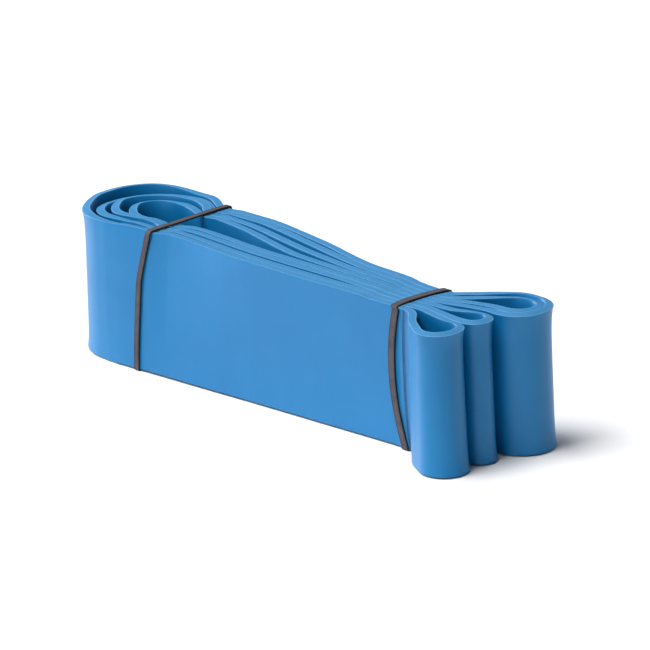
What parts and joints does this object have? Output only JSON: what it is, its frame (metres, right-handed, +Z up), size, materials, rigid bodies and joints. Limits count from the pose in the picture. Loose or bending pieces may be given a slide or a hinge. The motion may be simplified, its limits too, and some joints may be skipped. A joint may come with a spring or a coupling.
{
  "type": "stretching strap",
  "caption": "Wide flat latex exercise loop, folded into a layered bundle on its edge and tied by narrow rubber bands.",
  "frame": {"origin": "under the middle of the bundle's box, on the surface that it stands on", "axes": "+X along the bundle, from the nested turns towards the three folds; +Y from the flat front ply to the back; +Z up, along the strap's width"},
  "size_m": [0.2638, 0.0722, 0.0666],
  "materials": {
    "latex": "satin",
    "rubber_band": "matte"
  },
  "bodies": {
    "strap": {"strap": "latex"},
    "left_rubber_band": {"left_rubber_band": "rubber_band"},
    "right_rubber_band": {"right_rubber_band": "rubber_band"}
  },
  "joints": [
    {"name": "left_band_slide", "type": "slide", "parent": "strap", "child": "left_rubber_band", "axis": [1, 0, 0], "range_m": [0, 0.135]},
    {"name": "right_band_slide", "type": "slide", "parent": "strap", "child": "right_rubber_band", "axis": [1, 0, 0], "range_m": [-0.01, 0]}
  ]
}
